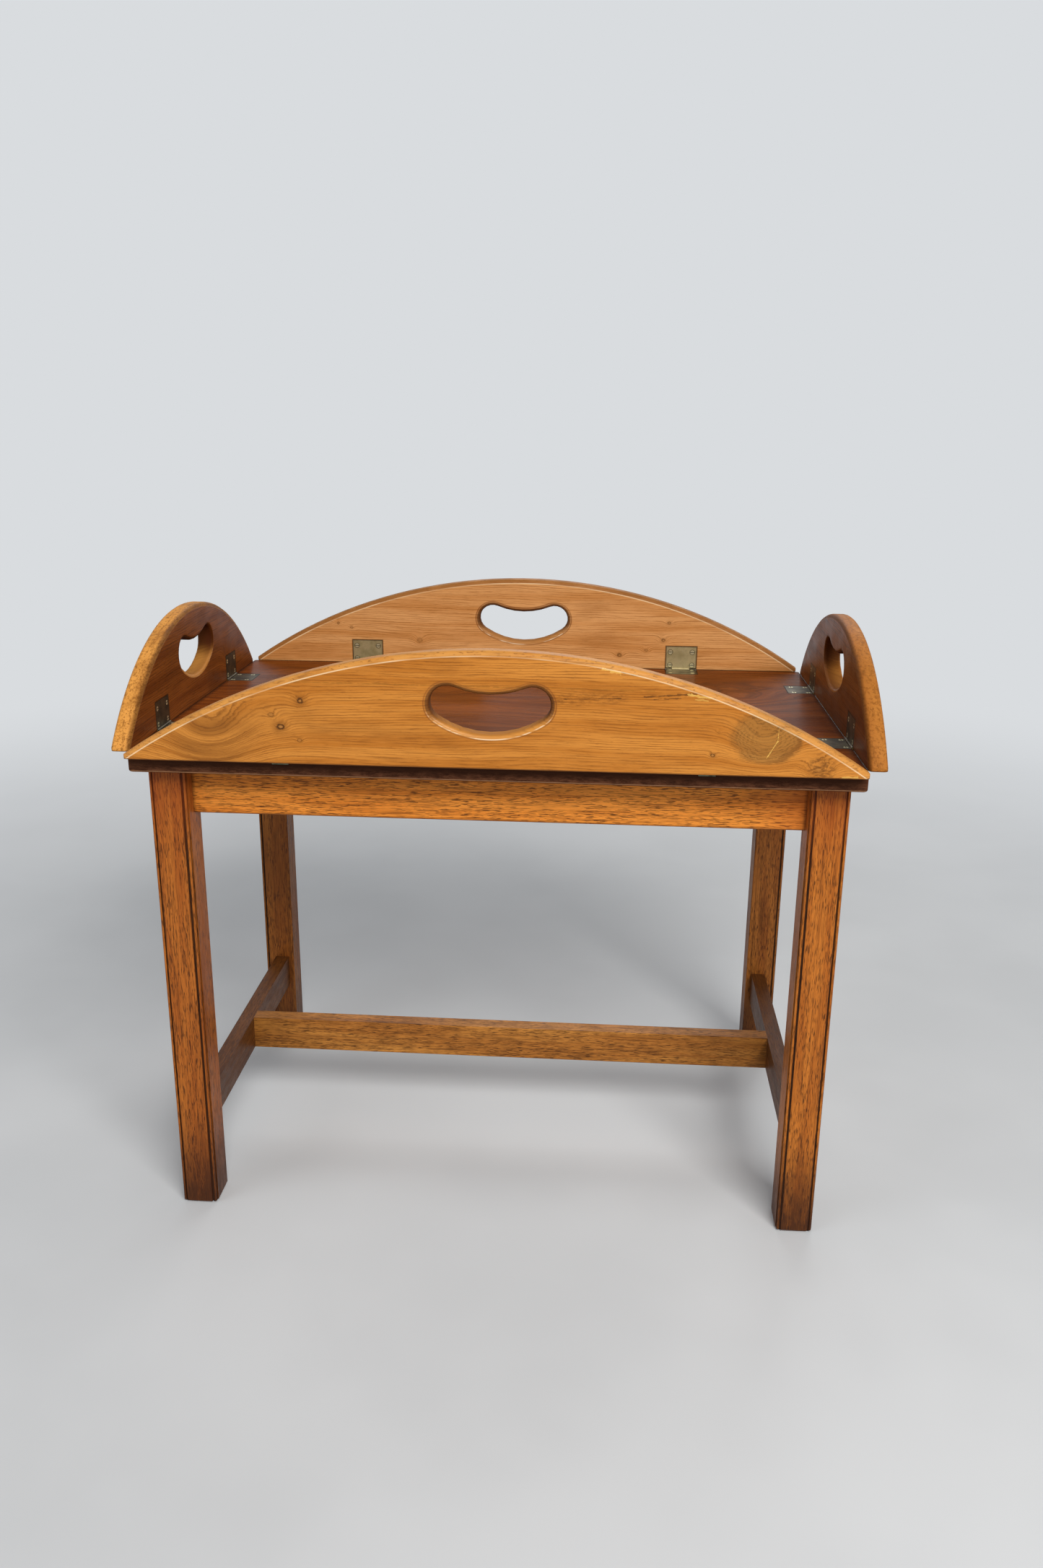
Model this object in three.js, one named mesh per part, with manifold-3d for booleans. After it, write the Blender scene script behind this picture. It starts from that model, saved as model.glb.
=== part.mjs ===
// Butler tray table: a tray with four arched flaps that fold up round it, lifted on and off a
// four-legged stand. Millimetres, +Z up, +X along the tray, origin on the floor under its middle.

import * as THREE from 'three';
import { mergeVertices } from 'three/addons/utils/BufferGeometryUtils.js';
import Module from 'manifold-3d';

const wasm = await Module();
wasm.setup();

// Tray board
const boardLength = 706;
const boardWidth = 453;
const boardThickness = 19;
const boardCornerRadius = 3;
const boardTopRounding = 0.2;
const boardBottomRounding = 2.5;

// Flaps, each with a square hinge edge and an arched edge that is rounded over on both faces
const flapThickness = 18.5;
const longFlapRise = 111.5;
const shortFlapRise = 108.5;
const longFlapEndSetback = 3;
const shortFlapEndSetback = 6.5;
const flapTipHeight = 4;
const flapEdgeRounding = 4.8;

// Handle hole, a kidney shape with its waist at the top, measured where it meets the flap's face
const holeWidth = 122.4;
const holeHeight = 55.2;
const holeAboveHingeEdge = 27.5;
const holeLobeRadius = 21.5;
const holeWaistDip = 7.8;

// Hinges, two to a flap, let in flush with the wood
const longSideHingeSetIn = 150;
const shortSideHingeSetIn = 105;
// Running gap of a flap's joint, and how far the raised flap's hinge edge laps below the board's top
const jointGap = 0.2;
const jointLap = 0.3;
const leafWidth = 38.5;
const leafLength = 29.5;
const leafThickness = 2;
const middleKnuckleWidth = 22;
const camRise = 0.2;
const pinRadius = 1;
const pinEndSetIn = 0.5;
const springLength = 20;
const springWidth = 16;
const springThickness = 0.6;
const springBow = 1.2;
const springLipDepth = 7;

// Countersunk slotted screws
const screwHeadRadius = 2.9;
const screwShankRadius = 1.5;
const screwTipRadius = 0.7;
const screwSlotWidth = 0.8;
const screwSlotDepth = 0.7;
const leafScrewLength = 13;
const leafScrewSpacing = 28;
const leafScrewNearRow = 5.6;
const leafScrewFarRow = 22.4;

// Two cleats under the board, which drop in between the end aprons and keep the tray from sliding
const cleatLength = 260;
const cleatWidth = 18;
const cleatHeight = 12;
const cleatChamfer = 2;
const cleatPlay = 1.5;
const cleatScrewCount = 3;
const cleatScrewSetIn = 25;
const cleatScrewLength = 24;

// Stand
const legSize = 38.4;
const legLength = 503;
const legEndInset = 9.5;
const legSideInset = 23;
const legPlainCorner = 1;
const footChamfer = 2.5;
const beadRadius = 1.45;
const beadCentreInset = 2.3;
const quirkWidth = 1.55;
const quirkDepth = 2.1;
const apronHeight = 53.4;
const apronSetback = 18.2;
const stretcherHeight = 40.6;
const stretcherBottom = 84.6;
const sideStretcherThickness = 17.5;
const sideStretcherSetback = 14.3;
const middleStretcherThickness = 18.5;
const railChamfer = 1.2;
const tenonThickness = 8;
const tenonShoulder = 6;
const tenonWall = 1.5;

// Clearances: round a piece let into another, and past the face that a cutter comes out of
const fitClearance = 0.3;
const overrun = 1;

// Steps of the curves
const flapArcSteps = 40;
const roundingSteps = 4;
const lobeSteps = 10;
const waistSteps = 6;
const holeBottomSteps = 8;
const cornerSteps = 3;
const beadSteps = 8;
const springSteps = 4;
const pinSides = 12;
const screwSides = 10;

// Sizes that follow
const quarterTurn = Math.PI / 2;
const halfTurn = Math.PI;
const axisOut = jointGap + jointLap / 2;
const axisDown = jointLap / 2;
const knuckleRadius = leafThickness - axisDown;
const screwHeadDepth = leafThickness;
const apronThickness = legSize - apronSetback;
const tenonLength = legSize - apronSetback - tenonThickness - tenonWall;
const legReachX = boardLength / 2 - legEndInset - legSize / 2;
const legReachY = boardWidth / 2 - legSideInset - legSize / 2;
const spanBetweenLegsX = 2 * legReachX - legSize;
const spanBetweenLegsY = 2 * legReachY - legSize;

const finishes = {
  flapWood: { color: 0xc28036, roughness: 0.4, metalness: 0 },
  boardWood: { color: 0x7a4526, roughness: 0.25, metalness: 0 },
  standWood: { color: 0xa5662f, roughness: 0.5, metalness: 0 },
  agedBrass: { color: 0x8c7c53, roughness: 0.45, metalness: 1 },
  screwBrass: { color: 0xb5a272, roughness: 0.35, metalness: 1 },
  springSteel: { color: 0x6f7274, roughness: 0.4, metalness: 1 },
};

// Axes
const axisX = new THREE.Vector3(1, 0, 0);
const axisY = new THREE.Vector3(0, 1, 0);
const axisZ = new THREE.Vector3(0, 0, 1);
const uprightAcrossX = new THREE.Matrix4().makeBasis(axisY, axisZ, axisX);
const turnedAlongY = new THREE.Matrix4().makeBasis(axisZ, axisX, axisY);
const facingBackX = new THREE.Matrix4().makeBasis(axisZ, axisY, axisX.clone().negate());
const quarterRoundZ = new THREE.Matrix4().makeBasis(axisY, axisX.clone().negate(), axisZ);
const upsideDown = new THREE.Matrix4().makeBasis(axisX, axisY.clone().negate(), axisZ.clone().negate());

// Solids

function solidOf(geometry) {
  const bare = geometry.clone();
  bare.deleteAttribute('normal');
  bare.deleteAttribute('uv');
  const merged = mergeVertices(bare);
  const vertProperties = new Float32Array(merged.getAttribute('position').array);
  const triVerts = new Uint32Array(merged.getIndex().array);
  return new wasm.Manifold(new wasm.Mesh({ numProp: 3, vertProperties, triVerts }));
}

function geometryOf(solid) {
  const mesh = solid.getMesh();
  const geometry = new THREE.BufferGeometry();
  geometry.setAttribute('position', new THREE.BufferAttribute(new Float32Array(mesh.vertProperties), 3));
  geometry.setIndex(new THREE.BufferAttribute(new Uint32Array(mesh.triVerts), 1));
  geometry.computeVertexNormals();
  return geometry;
}

function withoutCuts(geometry, cutters) {
  const start = solidOf(geometry);
  return geometryOf(cutters.reduce((solid, cutter) => solid.subtract(solidOf(cutter)), start));
}

function joined(geometries) {
  const [first, ...others] = geometries.map(solidOf);
  return geometryOf(others.reduce((solid, other) => solid.add(other), first));
}

// Closed geometry from an outline drawn at several heights, drawn in at each by its own inset.
// The outline runs anticlockwise and the heights rise.
function stacked(outlineAt, levels) {
  const outlines = levels.map(({ inset }) => outlineAt(inset));
  const count = outlines[0].length;
  const positions = [];
  outlines.forEach((outline, level) => {
    outline.forEach((point) => positions.push(point.x, point.y, levels[level].height));
  });
  const indices = [];
  for (let level = 1; level < levels.length; level += 1) {
    const below = (level - 1) * count;
    const above = level * count;
    for (let i = 0; i < count; i += 1) {
      const next = (i + 1) % count;
      indices.push(below + i, below + next, above + next, below + i, above + next, above + i);
    }
  }
  const top = (levels.length - 1) * count;
  for (const [a, b, c] of THREE.ShapeUtils.triangulateShape(outlines[0], [])) {
    indices.push(c, b, a);
  }
  for (const [a, b, c] of THREE.ShapeUtils.triangulateShape(outlines.at(-1), [])) {
    indices.push(top + a, top + b, top + c);
  }
  const geometry = new THREE.BufferGeometry();
  geometry.setAttribute('position', new THREE.Float32BufferAttribute(positions, 3));
  geometry.setIndex(indices);
  geometry.computeVertexNormals();
  return geometry;
}

// Solid of revolution round Z with flat ends, from a list of radii and heights
function turned(sides, levels) {
  const circleAt = (radius) => arc(0, 0, radius, 0, 2 * halfTurn, sides).slice(0, sides);
  return stacked(circleAt, levels.map(({ radius, height }) => ({ inset: radius, height })));
}

function block(low, high) {
  const size = new THREE.Vector3().subVectors(high, low);
  const middle = new THREE.Vector3().addVectors(low, high).multiplyScalar(0.5);
  return new THREE.BoxGeometry(size.x, size.y, size.z).translate(middle.x, middle.y, middle.z);
}

function vector(x, y, z) {
  return new THREE.Vector3(x, y, z);
}

function arc(centreX, centreY, radius, from, to, steps) {
  return Array.from({ length: steps + 1 }, (_, i) => {
    const angle = from + ((to - from) * i) / steps;
    return new THREE.Vector2(centreX + radius * Math.cos(angle), centreY + radius * Math.sin(angle));
  });
}

// Quarter-round of an edge: how far back from the side wall it is at each depth below the face
function rounding(radius) {
  return Array.from({ length: roundingSteps + 1 }, (_, i) => {
    const angle = (quarterTurn * i) / roundingSteps;
    return { back: radius * (1 - Math.sin(angle)), depth: radius * (1 - Math.cos(angle)) };
  });
}

// Levels through a plate from its lower face to its upper one, with each edge rounded over
function roundedLevels(thickness, lowerRadius, upperRadius) {
  const lower = rounding(lowerRadius).map(({ back, depth }) => ({ inset: back, height: depth }));
  const upper = rounding(upperRadius).map(({ back, depth }) => ({ inset: back, height: thickness - depth }));
  return [...lower, ...upper.reverse()];
}

function piece(name, geometry, finish, place = vector(0, 0, 0)) {
  const mesh = new THREE.Mesh(geometry, new THREE.MeshStandardMaterial(finish));
  mesh.name = name;
  mesh.position.copy(place);
  return mesh;
}

// Screws, head up at the origin with the shank down -Z and the slot along Y

function screwBody(length) {
  return turned(screwSides, [
    { radius: screwTipRadius, height: -length },
    { radius: screwShankRadius, height: -screwHeadDepth },
    { radius: screwHeadRadius, height: 0 },
  ]);
}

function screwSlot() {
  return block(
    vector(-screwSlotWidth / 2, -screwHeadRadius, -screwSlotDepth),
    vector(screwSlotWidth / 2, screwHeadRadius, overrun),
  );
}

function screwHole(length) {
  return turned(screwSides, [
    { radius: screwTipRadius + fitClearance, height: -length - fitClearance },
    { radius: screwShankRadius + fitClearance, height: -screwHeadDepth },
    { radius: screwHeadRadius + fitClearance, height: 0 },
    { radius: screwHeadRadius + fitClearance, height: overrun },
  ]);
}

function atPlaces(geometry, places) {
  return places.map((place) => geometry.clone().applyMatrix4(place));
}

function allMoved(geometries, place) {
  return geometries.map((geometry) => geometry.clone().applyMatrix4(place));
}

// Sides of the tray. In a side's own frame +X points outwards from the board's edge, +Y runs along
// the joint and Z is zero on the board's top.

const sides = [
  { name: 'front', turn: -quarterTurn, ends: ['left', 'right'] },
  { name: 'back', turn: quarterTurn, ends: ['right', 'left'] },
  { name: 'left', turn: halfTurn, ends: ['back', 'front'] },
  { name: 'right', turn: 0, ends: ['front', 'back'] },
].map((side) => {
  const long = side.name === 'front' || side.name === 'back';
  const endSetback = long ? longFlapEndSetback : shortFlapEndSetback;
  return {
    ...side,
    edgeReach: (long ? boardWidth : boardLength) / 2,
    halfSpan: (long ? boardLength : boardWidth) / 2 - endSetback,
    rise: long ? longFlapRise : shortFlapRise,
    hingeReach: long ? boardLength / 2 - longSideHingeSetIn : boardWidth / 2 - shortSideHingeSetIn,
  };
});

function sideFrame(side) {
  const frame = new THREE.Matrix4().makeRotationZ(side.turn);
  return frame.multiply(new THREE.Matrix4().makeTranslation(side.edgeReach, 0, 0));
}

function hingesOf(side) {
  return side.ends.map((end, i) => ({
    name: `${side.name}_${end}_hinge`,
    along: i === 0 ? -side.hingeReach : side.hingeReach,
  }));
}

function alongJoint(hinge) {
  return new THREE.Matrix4().makeTranslation(0, hinge.along, 0);
}

// Places of a leaf's four screws, out from the joint and along it
function screwGrid() {
  const columns = [-leafScrewSpacing / 2, leafScrewSpacing / 2];
  return [leafScrewNearRow, leafScrewFarRow].flatMap((row) => columns.map((along) => ({ row, along })));
}

const boardScrewPlaces = screwGrid().map(({ row, along }) => {
  return new THREE.Matrix4().makeTranslation(-row, along, 0);
});

const flapScrewPlaces = screwGrid().map(({ row, along }) => {
  return new THREE.Matrix4().makeTranslation(jointGap, along, row - jointLap).multiply(facingBackX);
});

// Hinges, in the side's frame with the hinge at the middle of its joint

function knuckle(radius, from, to) {
  const levels = [{ radius, height: from }, { radius, height: to }];
  return turned(pinSides, levels).applyMatrix4(turnedAlongY).translate(axisOut, 0, -axisDown);
}

function pin() {
  return knuckle(pinRadius, -leafWidth / 2 + pinEndSetIn, leafWidth / 2 - pinEndSetIn);
}

function pinBore() {
  return knuckle(pinRadius + fitClearance, -leafWidth / 2 - overrun, leafWidth / 2 + overrun);
}

// A leaf's four screws are one solid with it, with their slots cut in its face
function boardLeaf() {
  const plate = block(vector(-leafLength, -leafWidth / 2, -leafThickness), vector(0, leafWidth / 2, 0));
  const innerEnd = middleKnuckleWidth / 2 + fitClearance;
  const outerKnuckles = [
    knuckle(knuckleRadius, -leafWidth / 2, -innerEnd),
    knuckle(knuckleRadius, innerEnd, leafWidth / 2),
  ];
  const notched = withoutCuts(plate, [knuckle(knuckleRadius + fitClearance, -innerEnd, innerEnd)]);
  const screws = atPlaces(screwBody(leafScrewLength), boardScrewPlaces);
  const slots = atPlaces(screwSlot(), boardScrewPlaces);
  return withoutCuts(joined([notched, ...outerKnuckles, ...screws]), [pinBore(), ...slots]);
}

// The flap leaf's knuckle has flats a quarter turn apart, which the spring holds up or level
function flapLeaf() {
  const low = vector(jointGap, -leafWidth / 2, -jointLap);
  const high = vector(jointGap + leafThickness, leafWidth / 2, leafLength - jointLap);
  const innerEnd = middleKnuckleWidth / 2;
  const notches = [
    knuckle(knuckleRadius + fitClearance, -leafWidth / 2 - overrun, -innerEnd),
    knuckle(knuckleRadius + fitClearance, innerEnd, leafWidth / 2 + overrun),
  ];
  const plate = withoutCuts(block(low, high), notches);
  const screws = atPlaces(screwBody(leafScrewLength), flapScrewPlaces);
  const slots = atPlaces(screwSlot(), flapScrewPlaces);
  const camReach = knuckleRadius - camRise;
  const camBlock = block(
    vector(axisOut - camReach, -innerEnd, -axisDown - camReach),
    vector(axisOut + camReach, innerEnd, camReach - axisDown),
  );
  const round = solidOf(knuckle(knuckleRadius, -innerEnd, innerEnd));
  const cam = geometryOf(round.intersect(solidOf(camBlock)));
  return withoutCuts(joined([plate, cam, ...screws]), [pinBore(), ...slots]);
}

// Bowed strip in a pocket under the board leaf: its belly bears on the wood and the cam on its
// outer end, which is turned down in a lip, level with the board's edge
function spring() {
  const outline = [];
  const reachAt = (share) => -springLength * (1 - share);
  const heightAt = (share) => -leafThickness - fitClearance - springBow * Math.sin(halfTurn * share);
  for (let i = 0; i < springSteps; i += 1) {
    const share = i / springSteps;
    outline.push(new THREE.Vector2(reachAt(share), heightAt(share) - springThickness));
  }
  outline.push(new THREE.Vector2(-springThickness, heightAt(1) - springThickness));
  outline.push(new THREE.Vector2(-springThickness, -springLipDepth));
  outline.push(new THREE.Vector2(0, -springLipDepth));
  for (let i = springSteps; i >= 0; i -= 1) {
    const share = i / springSteps;
    outline.push(new THREE.Vector2(reachAt(share), heightAt(share)));
  }
  const levels = [{ inset: 0, height: -springWidth / 2 }, { inset: 0, height: springWidth / 2 }];
  return stacked(() => outline, levels).rotateX(quarterTurn);
}

function boardHingeRecesses() {
  const floor = -leafThickness - fitClearance;
  const springFloor = floor - springBow - springThickness - fitClearance;
  const halfWidth = leafWidth / 2 + fitClearance;
  const halfPocket = springWidth / 2 + fitClearance;
  const pocketEnd = -springLength - fitClearance;
  const lipBack = -springThickness - fitClearance;
  const lipFloor = -springLipDepth - fitClearance;
  return [
    block(vector(-leafLength - fitClearance, -halfWidth, floor), vector(overrun, halfWidth, overrun)),
    block(vector(pocketEnd, -halfPocket, springFloor), vector(overrun, halfPocket, 0)),
    block(vector(lipBack, -halfPocket, lipFloor), vector(overrun, halfPocket, 0)),
    ...atPlaces(screwHole(leafScrewLength), boardScrewPlaces),
  ];
}

function flapHingeRecesses() {
  const halfWidth = leafWidth / 2 + fitClearance;
  const depth = jointGap + leafThickness + fitClearance;
  const top = leafLength - jointLap + fitClearance;
  return [
    block(vector(-overrun, -halfWidth, -jointLap - overrun), vector(depth, halfWidth, top)),
    ...atPlaces(screwHole(leafScrewLength), flapScrewPlaces),
  ];
}

// Flaps, standing on their hinge edge in the side's frame

function flapOutline(halfSpan, rise) {
  const arcRise = rise - flapTipHeight;
  const radius = (halfSpan * halfSpan + arcRise * arcRise) / (2 * arcRise);
  return (inset) => {
    const half = halfSpan - inset;
    const tipAngle = Math.acos(half / (radius - inset));
    return [
      new THREE.Vector2(-half, 0),
      new THREE.Vector2(half, 0),
      ...arc(0, rise - radius, radius - inset, tipAngle, halfTurn - tipAngle, flapArcSteps),
    ];
  };
}

// Four arcs that run into one another: two lobes, the waist above and the long curve below
function holeOutline(inset) {
  const lobeX = holeWidth / 2 - holeLobeRadius;
  const lobeY = holeHeight - holeLobeRadius;
  const waistY = holeHeight - holeWaistDip;
  const spread = lobeX * lobeX - holeLobeRadius * holeLobeRadius;
  const bottomRadius = (spread + lobeY * lobeY) / (2 * (lobeY - holeLobeRadius));
  const waistAboveLobe = waistY - lobeY;
  const waistRadius = (spread + waistAboveLobe * waistAboveLobe) / (2 * (holeLobeRadius - waistAboveLobe));
  const lowerMeet = Math.atan2(lobeY - bottomRadius, lobeX);
  const upperMeet = Math.atan2(waistY + waistRadius - lobeY, -lobeX);
  const lobe = holeLobeRadius - inset;
  const runs = [
    arc(lobeX, lobeY, lobe, lowerMeet, upperMeet, lobeSteps),
    arc(0, waistY + waistRadius, waistRadius + inset, upperMeet - halfTurn, -upperMeet, waistSteps),
    arc(-lobeX, lobeY, lobe, halfTurn - upperMeet, halfTurn - lowerMeet, lobeSteps),
    arc(0, bottomRadius, bottomRadius - inset, -halfTurn - lowerMeet, lowerMeet, holeBottomSteps),
  ];
  return runs.flatMap((run) => run.slice(0, -1));
}

function holeCutter() {
  const flare = rounding(flapEdgeRounding);
  const inner = flare.map(({ back, depth }) => ({ inset: flapEdgeRounding - back, height: depth }));
  const outer = inner.map(({ inset, height }) => ({ inset, height: flapThickness - height })).reverse();
  const levels = [
    { inset: 0, height: -overrun },
    ...inner,
    ...outer,
    { inset: 0, height: flapThickness + overrun },
  ];
  return stacked(holeOutline, levels).translate(0, holeAboveHingeEdge, 0);
}

function flap(side) {
  const levels = roundedLevels(flapThickness, flapEdgeRounding, flapEdgeRounding);
  const plate = stacked(flapOutline(side.halfSpan, side.rise), levels);
  const standing = withoutCuts(plate, [holeCutter()]).applyMatrix4(uprightAcrossX);
  standing.translate(jointGap, 0, -jointLap);
  const recesses = hingesOf(side).flatMap((hinge) => allMoved(flapHingeRecesses(), alongJoint(hinge)));
  return withoutCuts(standing, recesses);
}

// Board, with its top at zero

function boardOutline(inset) {
  const halfLength = boardLength / 2 - inset;
  const halfWidth = boardWidth / 2 - inset;
  const radius = boardCornerRadius;
  const centres = [
    vector(halfLength - radius, halfWidth - radius, 0),
    vector(radius - halfLength, halfWidth - radius, 0),
    vector(radius - halfLength, radius - halfWidth, 0),
    vector(halfLength - radius, radius - halfWidth, 0),
  ];
  return centres.flatMap(({ x, y }, corner) => {
    const from = quarterTurn * corner;
    return arc(x, y, radius, from, from + quarterTurn, cornerSteps);
  });
}

const cleatReach = spanBetweenLegsX / 2 - cleatPlay - cleatWidth / 2;

const cleats = [
  { name: 'left_cleat', reach: -cleatReach },
  { name: 'right_cleat', reach: cleatReach },
];

// Places of one cleat's screws, driven upwards from its lower face
function cleatScrewPlaces({ reach }) {
  const run = cleatLength - 2 * cleatScrewSetIn;
  return Array.from({ length: cleatScrewCount }, (_, i) => {
    const along = -run / 2 + (run * i) / (cleatScrewCount - 1);
    const lift = new THREE.Matrix4().makeTranslation(reach, along, -boardThickness - cleatHeight);
    return lift.multiply(upsideDown);
  });
}

function board() {
  const levels = roundedLevels(boardThickness, boardBottomRounding, boardTopRounding);
  const plate = stacked(boardOutline, levels).translate(0, 0, -boardThickness);
  const hingePlaces = sides.flatMap((side) => {
    return hingesOf(side).map((hinge) => sideFrame(side).multiply(alongJoint(hinge)));
  });
  const recesses = hingePlaces.flatMap((place) => allMoved(boardHingeRecesses(), place));
  const cleatScrewHoles = atPlaces(screwHole(cleatScrewLength), cleats.flatMap(cleatScrewPlaces));
  return withoutCuts(plate, [...recesses, ...cleatScrewHoles]);
}

function cleatBar(cleat) {
  const half = cleatWidth / 2;
  const section = [
    new THREE.Vector2(-half, 0),
    new THREE.Vector2(-half, -cleatHeight + cleatChamfer),
    new THREE.Vector2(-half + cleatChamfer, -cleatHeight),
    new THREE.Vector2(half - cleatChamfer, -cleatHeight),
    new THREE.Vector2(half, -cleatHeight + cleatChamfer),
    new THREE.Vector2(half, 0),
  ];
  const levels = [{ inset: 0, height: -cleatLength / 2 }, { inset: 0, height: cleatLength / 2 }];
  const bar = stacked(() => section, levels).rotateX(quarterTurn).translate(cleat.reach, 0, -boardThickness);
  return withoutCuts(bar, atPlaces(screwHole(cleatScrewLength), cleatScrewPlaces(cleat)));
}

function cleatScrew() {
  return withoutCuts(screwBody(cleatScrewLength), [screwSlot()]).applyMatrix4(upsideDown);
}

// Tray: the board's top is the group's zero height

function tray() {
  const group = new THREE.Group();
  group.position.z = legLength + boardThickness;
  group.add(piece('tray_board', board(), finishes.boardWood));
  for (const cleat of cleats) {
    group.add(piece(cleat.name, cleatBar(cleat), finishes.standWood));
    cleatScrewPlaces(cleat).forEach((place, i) => {
      const position = vector(0, 0, 0).setFromMatrixPosition(place);
      group.add(piece(`${cleat.name}_screw_${i + 1}`, cleatScrew(), finishes.screwBrass, position));
    });
  }
  for (const side of sides) {
    const sideGroup = new THREE.Group();
    sideGroup.applyMatrix4(sideFrame(side));
    sideGroup.add(piece(`${side.name}_flap`, flap(side), finishes.flapWood));
    for (const hinge of hingesOf(side)) {
      const place = vector(0, hinge.along, 0);
      sideGroup.add(piece(`${hinge.name}_board_leaf`, boardLeaf(), finishes.agedBrass, place));
      sideGroup.add(piece(`${hinge.name}_flap_leaf`, flapLeaf(), finishes.agedBrass, place));
      sideGroup.add(piece(`${hinge.name}_pin`, pin(), finishes.agedBrass, place));
      sideGroup.add(piece(`${hinge.name}_spring`, spring(), finishes.springSteel, place));
    }
    group.add(sideGroup);
  }
  return group;
}

// Stand rails, each along its own X with its outer face towards -Y and its foot at zero

function rail({ length, thickness, height, tenonFromOuterFace }) {
  const half = thickness / 2;
  const section = [
    new THREE.Vector2(-half + railChamfer, 0),
    new THREE.Vector2(half - railChamfer, 0),
    new THREE.Vector2(half, railChamfer),
    new THREE.Vector2(half, height),
    new THREE.Vector2(-half, height),
    new THREE.Vector2(-half, railChamfer),
  ];
  const levels = [{ inset: 0, height: -length / 2 }, { inset: 0, height: length / 2 }];
  const bar = stacked(() => section, levels).applyMatrix4(uprightAcrossX);
  return joined([bar, tenons({ length, thickness, height, tenonFromOuterFace }, 0)]);
}

// Both tenons of a rail as one bar through it, grown by the clearance for the mortises
function tenons({ length, thickness, height, tenonFromOuterFace }, clearance) {
  const halfRun = length / 2 + tenonLength + clearance;
  const outer = -thickness / 2 + tenonFromOuterFace;
  return block(
    vector(-halfRun, outer - clearance, tenonShoulder - clearance),
    vector(halfRun, outer + tenonThickness + clearance, height - tenonShoulder + clearance),
  );
}

function railFrame(x, y, z, quarterTurns) {
  const frame = new THREE.Matrix4().makeTranslation(x, y, z);
  for (let i = 0; i < quarterTurns; i += 1) {
    frame.multiply(quarterRoundZ);
  }
  return frame;
}

const apronBottom = legLength - apronHeight;
const apronOut = legSize / 2 - apronSetback - apronThickness / 2;
const sideStretcherX = legReachX + legSize / 2 - sideStretcherSetback - sideStretcherThickness / 2;
const longApron = {
  length: spanBetweenLegsX,
  thickness: apronThickness,
  height: apronHeight,
  tenonFromOuterFace: 0,
};
const shortApron = { ...longApron, length: spanBetweenLegsY };
const sideStretcher = {
  length: spanBetweenLegsY,
  thickness: sideStretcherThickness,
  height: stretcherHeight,
  tenonFromOuterFace: (sideStretcherThickness - tenonThickness) / 2,
};
const middleStretcher = {
  length: 2 * sideStretcherX - sideStretcherThickness,
  thickness: middleStretcherThickness,
  height: stretcherHeight,
  tenonFromOuterFace: (middleStretcherThickness - tenonThickness) / 2,
};
const rails = [
  { name: 'front_apron', shape: longApron, frame: railFrame(0, -legReachY - apronOut, apronBottom, 0) },
  { name: 'right_apron', shape: shortApron, frame: railFrame(legReachX + apronOut, 0, apronBottom, 1) },
  { name: 'back_apron', shape: longApron, frame: railFrame(0, legReachY + apronOut, apronBottom, 2) },
  { name: 'left_apron', shape: shortApron, frame: railFrame(-legReachX - apronOut, 0, apronBottom, 3) },
  { name: 'right_stretcher', shape: sideStretcher, frame: railFrame(sideStretcherX, 0, stretcherBottom, 1) },
  { name: 'left_stretcher', shape: sideStretcher, frame: railFrame(-sideStretcherX, 0, stretcherBottom, 3) },
  { name: 'middle_stretcher', shape: middleStretcher, frame: railFrame(0, 0, stretcherBottom, 0) },
];
const middleMortise = tenons(middleStretcher, fitClearance).applyMatrix4(railFrame(0, 0, stretcherBottom, 0));

// Section of a leg: a bead between two quirks on each corner but the one that faces the middle
function legOutline(plainCorner) {
  const half = legSize / 2;
  const flatEnd = beadCentreInset + beadRadius + quirkWidth;
  const beadPoints = arc(beadCentreInset, beadCentreInset, beadRadius, quarterTurn, 2 * halfTurn, beadSteps);
  const moulded = [
    new THREE.Vector2(0, flatEnd),
    new THREE.Vector2(quirkDepth, flatEnd),
    ...beadPoints,
    new THREE.Vector2(flatEnd, quirkDepth),
    new THREE.Vector2(flatEnd, 0),
  ];
  const plain = [new THREE.Vector2(0, legPlainCorner), new THREE.Vector2(legPlainCorner, 0)];
  const middle = new THREE.Vector2(0, 0);
  return Array.from({ length: 4 }, (_, corner) => {
    const points = corner === plainCorner ? plain : moulded;
    return points.map(({ x, y }) => {
      return new THREE.Vector2(half - x, half - y).rotateAround(middle, quarterTurn * corner);
    });
  }).flat();
}

function leg(place, plainCorner) {
  const outline = legOutline(plainCorner);
  const drawnIn = (inset) => outline.map((point) => point.clone().multiplyScalar(1 - (2 * inset) / legSize));
  const post = stacked(drawnIn, [
    { inset: footChamfer, height: 0 },
    { inset: 0, height: footChamfer },
    { inset: 0, height: legLength },
  ]);
  const mortises = rails.map(({ shape, frame }) => {
    return tenons(shape, fitClearance).applyMatrix4(frame).translate(-place.x, -place.y, -place.z);
  });
  return withoutCuts(post, mortises);
}

function stand() {
  const group = new THREE.Group();
  const legs = [
    { name: 'back_right_leg', place: vector(legReachX, legReachY, 0), plainCorner: 2 },
    { name: 'back_left_leg', place: vector(-legReachX, legReachY, 0), plainCorner: 3 },
    { name: 'front_left_leg', place: vector(-legReachX, -legReachY, 0), plainCorner: 0 },
    { name: 'front_right_leg', place: vector(legReachX, -legReachY, 0), plainCorner: 1 },
  ];
  for (const { name, place, plainCorner } of legs) {
    group.add(piece(name, leg(place, plainCorner), finishes.standWood, place));
  }
  for (const { name, shape, frame } of rails) {
    const bar = rail(shape).applyMatrix4(frame);
    const cutBar = shape === sideStretcher ? withoutCuts(bar, [middleMortise]) : bar;
    group.add(piece(name, cutBar, finishes.standWood));
  }
  return group;
}

const table = new THREE.Group();
table.add(stand());
table.add(tray());

export default table;
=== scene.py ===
import math
import bpy
from mathutils import Matrix, Vector

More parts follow.
